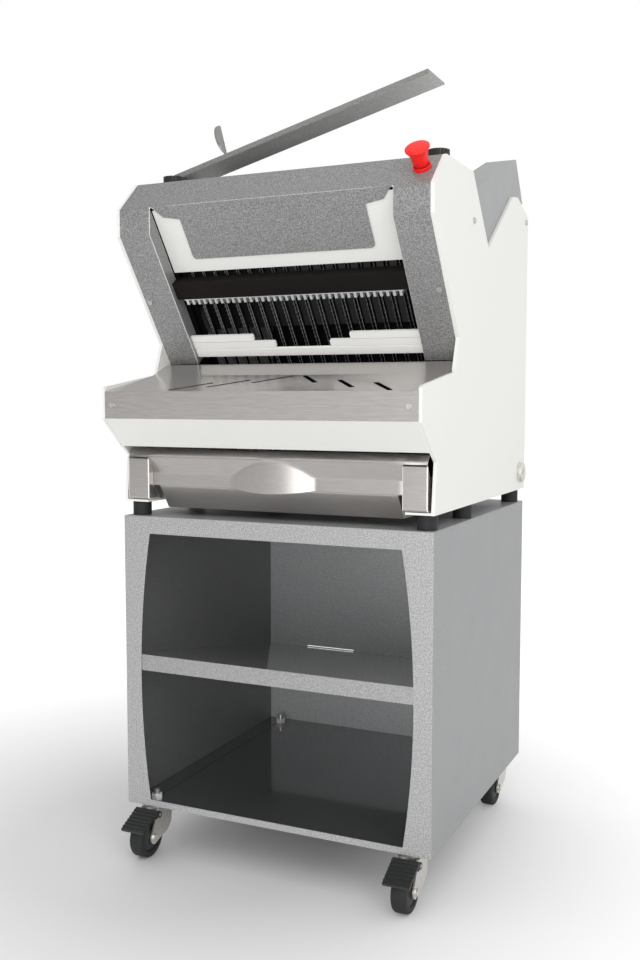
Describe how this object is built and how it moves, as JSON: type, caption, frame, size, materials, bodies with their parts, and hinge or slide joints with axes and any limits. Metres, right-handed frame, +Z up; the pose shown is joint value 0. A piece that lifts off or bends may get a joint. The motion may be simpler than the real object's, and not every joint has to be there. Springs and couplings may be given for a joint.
{
  "type": "bread slicer",
  "caption": "Table-top bread slicer with leaning blade frames, rear loading chute, reception tray, crumb drawer and loaf arm, on an open stand with swivel castors.",
  "frame": {"origin": "on the floor under the middle of the stand", "axes": "+Z up, -Y towards the operator at the tray, +X to the right seen from the front"},
  "size_m": [0.612, 0.655, 1.4113],
  "materials": {
    "hammered_grey": "hammer-finish enamel",
    "smooth_grey": "satin enamel",
    "off_white": "satin powder coat",
    "stainless": "fine brushed",
    "zinc": "bright zinc plate",
    "machine_steel": "ground",
    "blade_steel": "polished",
    "black_rubber": "matt",
    "black_plastic": "matt",
    "dark_bar": "matt",
    "signal_red": "gloss",
    "motor_grey": "enamel",
    "black_enamel": "enamel"
  },
  "bodies": {
    "housing": {"stand_top": "smooth_grey", "stand_left_side": "smooth_grey", "stand_right_side": "smooth_grey", "stand_back": "smooth_grey", "stand_front_frame": "hammered_grey", "stand_shelf": "hammered_grey", "stand_bottom": "smooth_grey", "castor_heads": "zinc", "castor_nuts": "zinc", "left_panel": "off_white", "right_panel": "off_white", "rubber_feet": "black_rubber", "base_plate": "off_white", "rear_panel": "off_white", "top_deck": "hammered_grey", "front_cover": "hammered_grey", "inner_panel": "off_white", "outfeed_sill": "off_white", "outfeed_steps": "off_white", "comb_bar": "dark_bar", "guide_comb": "stainless", "reception_tray": "stainless", "lower_panel": "off_white", "drawer_runners": "zinc", "loading_chute": "black_enamel", "loading_hood": "smooth_grey", "guide_rails": "machine_steel", "crank_bearings": "machine_steel", "motor": "motor_grey", "drive_belt": "black_rubber", "arm_bracket": "zinc", "arm_pin": "zinc", "estop_collar": "signal_red", "cable_gland": "zinc", "panel_screws": "zinc"},
    "drawer": {"crumb_drawer": "stainless", "drawer_front": "stainless"},
    "front_frame": {"front_blade_frame": "machine_steel", "front_blades": "blade_steel"},
    "rear_frame": {"rear_blade_frame": "machine_steel", "rear_blades": "blade_steel"},
    "crank": {"crankshaft": "machine_steel", "crank_pulley": "machine_steel"},
    "front_rod": {"front_rod": "machine_steel"},
    "rear_rod": {"rear_rod": "machine_steel"},
    "motor_rotor": {"motor_pulley": "machine_steel"},
    "loaf_arm": {"loaf_arm": "smooth_grey"},
    "knob_left": {"knob_left": "black_plastic"},
    "knob_right": {"knob_right": "black_plastic"},
    "estop_button": {"estop_button": "signal_red"},
    "brake_pedal_left": {"brake_pedal_left": "black_plastic"},
    "brake_pedal_right": {"brake_pedal_right": "black_plastic"},
    "fork_front_left": {"castor_fork_front_left": "zinc"},
    "wheel_front_left": {"castor_wheel_front_left": "black_rubber"},
    "fork_front_right": {"castor_fork_front_right": "zinc"},
    "wheel_front_right": {"castor_wheel_front_right": "black_rubber"},
    "fork_rear_left": {"castor_fork_rear_left": "zinc"},
    "wheel_rear_left": {"castor_wheel_rear_left": "black_rubber"},
    "fork_rear_right": {"castor_fork_rear_right": "zinc"},
    "wheel_rear_right": {"castor_wheel_rear_right": "black_rubber"}
  },
  "joints": [
    {"name": "drawer_slide", "type": "slide", "parent": "housing", "child": "drawer", "axis": [0, -1, 0], "range_m": [0, 0.28]},
    {"name": "front_frame_stroke", "type": "slide", "parent": "housing", "child": "front_frame", "axis": [0, -0.585, 0.8111], "range_m": [-0.012, 0.012]},
    {"name": "rear_frame_stroke", "type": "slide", "parent": "housing", "child": "rear_frame", "axis": [0, -0.585, 0.8111], "range_m": [-0.012, 0.012]},
    {"name": "crank_spin", "type": "hinge", "parent": "housing", "child": "crank", "pos_m": [0, 0.01757, 0.80297], "axis": [1, 0, 0], "continuous": true},
    {"name": "front_rod_pin", "type": "hinge", "parent": "crank", "child": "front_rod", "pos_m": [-0.03, 0.00784, 0.79595], "axis": [1, 0, 0], "continuous": true},
    {"name": "rear_rod_pin", "type": "hinge", "parent": "crank", "child": "rear_rod", "pos_m": [0.03, 0.0273, 0.80998], "axis": [1, 0, 0], "continuous": true},
    {"name": "motor_spin", "type": "hinge", "parent": "housing", "child": "motor_rotor", "pos_m": [-0.265, 0.19, 0.752], "axis": [1, 0, 0], "continuous": true},
    {"name": "arm_pivot", "type": "hinge", "parent": "housing", "child": "loaf_arm", "pos_m": [-0.272, -0.103, 1.26811], "axis": [0, -1, 0], "range_deg": [-14.5, 50]},
    {"name": "knob_left_turn", "type": "hinge", "parent": "housing", "child": "knob_left", "pos_m": [-0.262, -0.17, 1.25611], "axis": [0, 0, 1], "continuous": true},
    {"name": "knob_right_turn", "type": "hinge", "parent": "housing", "child": "knob_right", "pos_m": [0.262, -0.17, 1.25611], "axis": [0, 0, 1], "continuous": true},
    {"name": "estop_press", "type": "slide", "parent": "housing", "child": "estop_button", "axis": [0, 0.6881, -0.7256], "range_m": [0, 0.005], "stiffness_N_per_m": 1500},
    {"name": "swivel_front_left", "type": "hinge", "parent": "housing", "child": "fork_front_left", "pos_m": [-0.257, -0.258, 0.0845], "axis": [0, 0, 1], "continuous": true},
    {"name": "roll_front_left", "type": "hinge", "parent": "fork_front_left", "child": "wheel_front_left", "pos_m": [-0.257, -0.295, 0.0375], "axis": [1, 0, 0], "continuous": true},
    {"name": "swivel_front_right", "type": "hinge", "parent": "housing", "child": "fork_front_right", "pos_m": [0.257, -0.258, 0.0845], "axis": [0, 0, 1], "continuous": true},
    {"name": "roll_front_right", "type": "hinge", "parent": "fork_front_right", "child": "wheel_front_right", "pos_m": [0.257, -0.295, 0.0375], "axis": [1, 0, 0], "continuous": true},
    {"name": "swivel_rear_left", "type": "hinge", "parent": "housing", "child": "fork_rear_left", "pos_m": [-0.257, 0.258, 0.0845], "axis": [0, 0, 1], "continuous": true},
    {"name": "roll_rear_left", "type": "hinge", "parent": "fork_rear_left", "child": "wheel_rear_left", "pos_m": [-0.257, 0.221, 0.0375], "axis": [1, 0, 0], "continuous": true},
    {"name": "swivel_rear_right", "type": "hinge", "parent": "housing", "child": "fork_rear_right", "pos_m": [0.257, 0.258, 0.0845], "axis": [0, 0, 1], "continuous": true},
    {"name": "roll_rear_right", "type": "hinge", "parent": "fork_rear_right", "child": "wheel_rear_right", "pos_m": [0.257, 0.221, 0.0375], "axis": [1, 0, 0], "continuous": true},
    {"name": "pedal_left", "type": "hinge", "parent": "fork_front_left", "child": "brake_pedal_left", "pos_m": [-0.257, -0.284, 0.078], "axis": [-1, 0, 0], "range_deg": [0, 22]},
    {"name": "pedal_right", "type": "hinge", "parent": "fork_front_right", "child": "brake_pedal_right", "pos_m": [0.257, -0.284, 0.078], "axis": [-1, 0, 0], "range_deg": [0, 22]}
  ],
  "couplings": [
    {"joint": "rear_frame_stroke", "follows": "front_frame_stroke", "ratio": -1},
    {"joint": "front_rod_pin", "follows": "crank_spin", "ratio": -1},
    {"joint": "rear_rod_pin", "follows": "crank_spin", "ratio": -1},
    {"joint": "motor_spin", "follows": "crank_spin", "ratio": 2.5}
  ]
}
